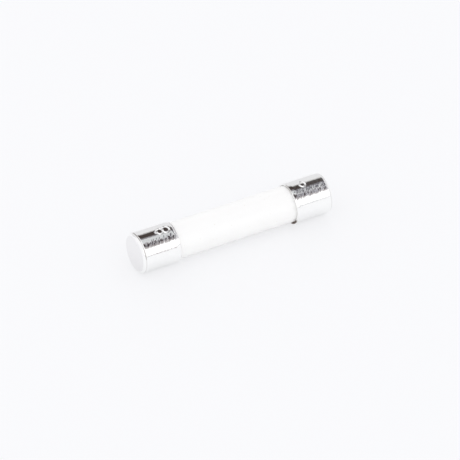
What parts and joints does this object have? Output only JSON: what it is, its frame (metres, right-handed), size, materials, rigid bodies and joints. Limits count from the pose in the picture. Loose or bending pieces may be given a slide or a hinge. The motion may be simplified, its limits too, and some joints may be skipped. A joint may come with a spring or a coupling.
{
  "type": "ceramic cartridge fuse",
  "caption": "White ceramic tube fuse with a bright metal cup cap pressed over each end and a wound wire element in sand inside.",
  "frame": {"origin": "middle of the lower cap's flat end face, which the fuse stands on", "axes": "+Z along the fuse from the lower cap to the upper cap; the part is round about Z"},
  "size_m": [0.0064, 0.0064, 0.0318],
  "materials": {
    "tube_ceramic": "satin",
    "cap_nickel": "polished",
    "solder_tin": "satin",
    "core_yarn": "matte",
    "wire_tinned": "satin",
    "quartz_sand": "matte"
  },
  "bodies": {
    "root": {"ceramic_tube": "tube_ceramic", "lower_cap": "cap_nickel", "upper_cap": "cap_nickel", "lower_solder": "solder_tin", "upper_solder": "solder_tin", "yarn_core": "core_yarn", "fuse_wire": "wire_tinned", "sand_filling": "quartz_sand"}
  },
  "joints": []
}
